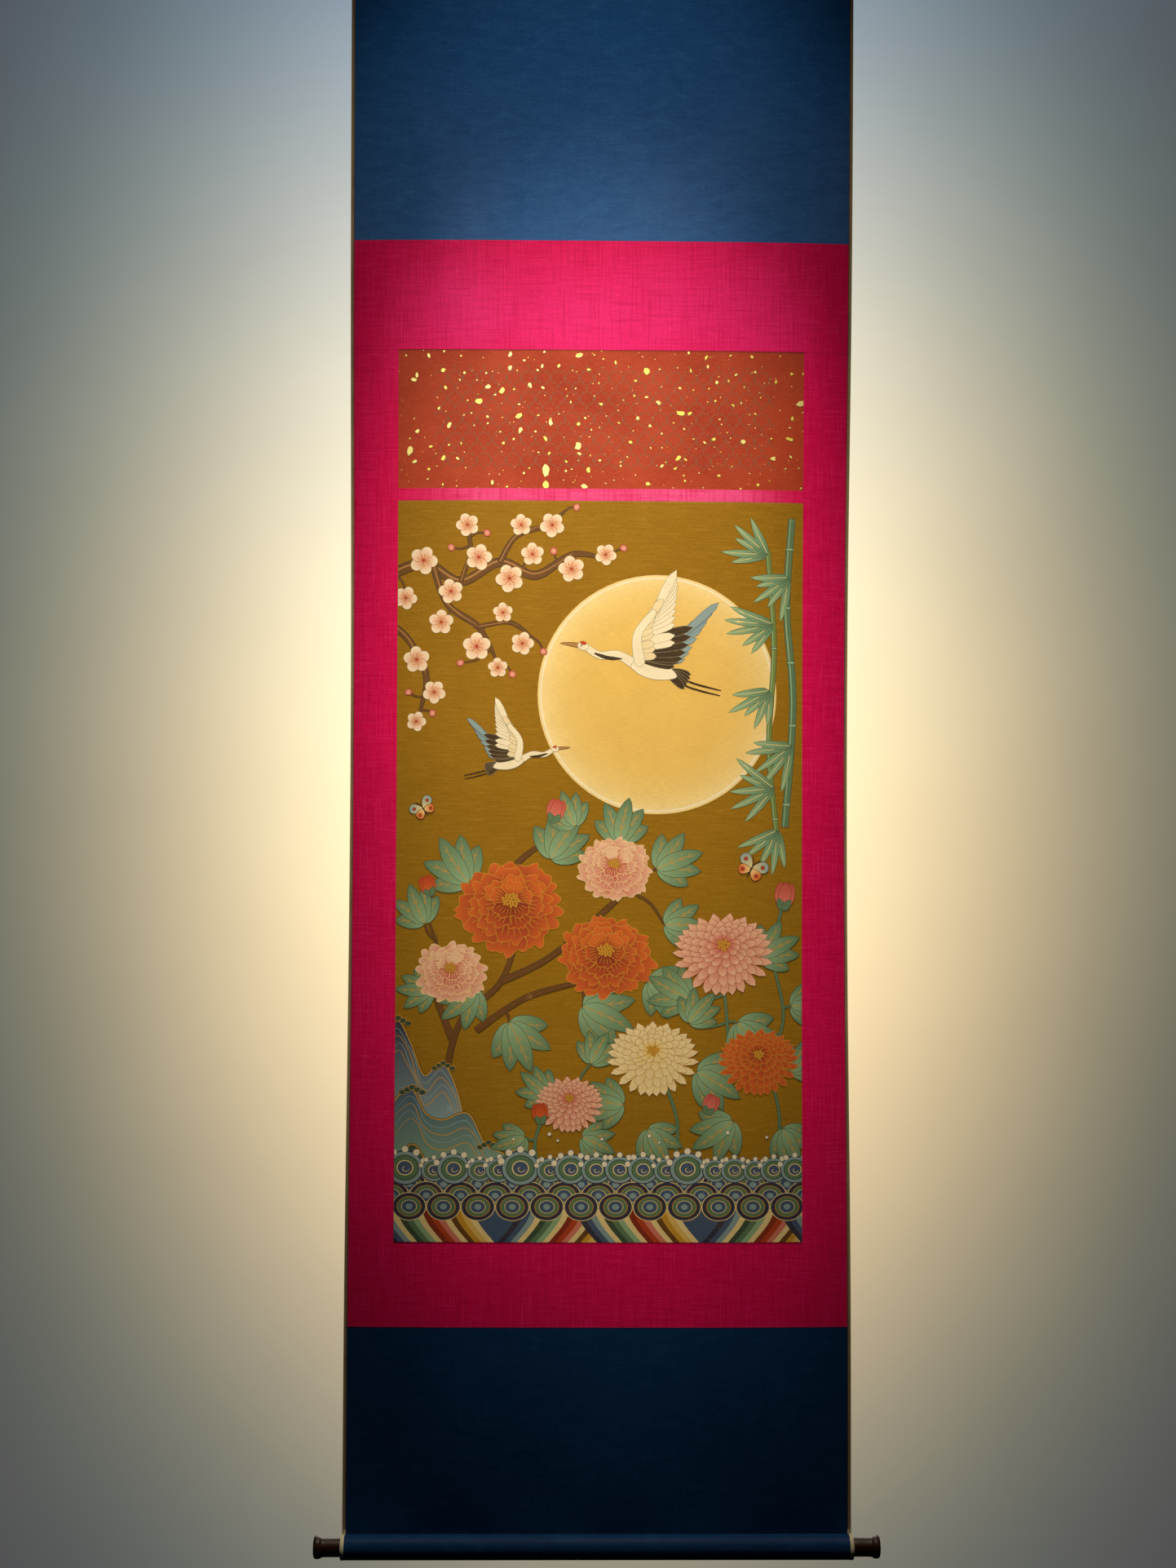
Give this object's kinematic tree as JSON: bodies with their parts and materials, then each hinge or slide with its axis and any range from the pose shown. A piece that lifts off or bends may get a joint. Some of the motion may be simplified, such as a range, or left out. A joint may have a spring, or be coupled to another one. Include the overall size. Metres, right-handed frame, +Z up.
{
  "type": "hanging scroll painting",
  "caption": "Tall hanging scroll: silk and paper panels pasted into one cloth, hung by its top edge and weighted by a wrapped roller with knobs.",
  "frame": {"origin": "middle of the cloth's top edge, on its middle surface", "axes": "+Z up along the height, the cloth hangs towards -Z; +Y into the wall behind, the painted front faces -Y; +X to the viewer's right along the roller"},
  "size_m": [0.686, 0.0575, 2.008],
  "materials": {
    "blue_silk": "matt woven silk",
    "magenta_silk": "matt slubbed silk",
    "flecked_paper": "matt paper with metal flecks",
    "picture_silk": "matt sized silk",
    "binding": "matt",
    "rod_wood": "bare",
    "knob_wood": "semi-gloss stain"
  },
  "bodies": {
    "root": {"heaven_panel": "blue_silk", "border_top": "magenta_silk", "border_left": "magenta_silk", "border_right": "magenta_silk", "border_divider": "magenta_silk", "border_bottom": "magenta_silk", "flecked_panel": "flecked_paper", "picture_panel": "picture_silk", "earth_panel": "blue_silk", "binding_left": "binding", "binding_right": "binding", "roller_rod": "rod_wood", "knob_left": "knob_wood", "knob_right": "knob_wood"}
  },
  "joints": []
}
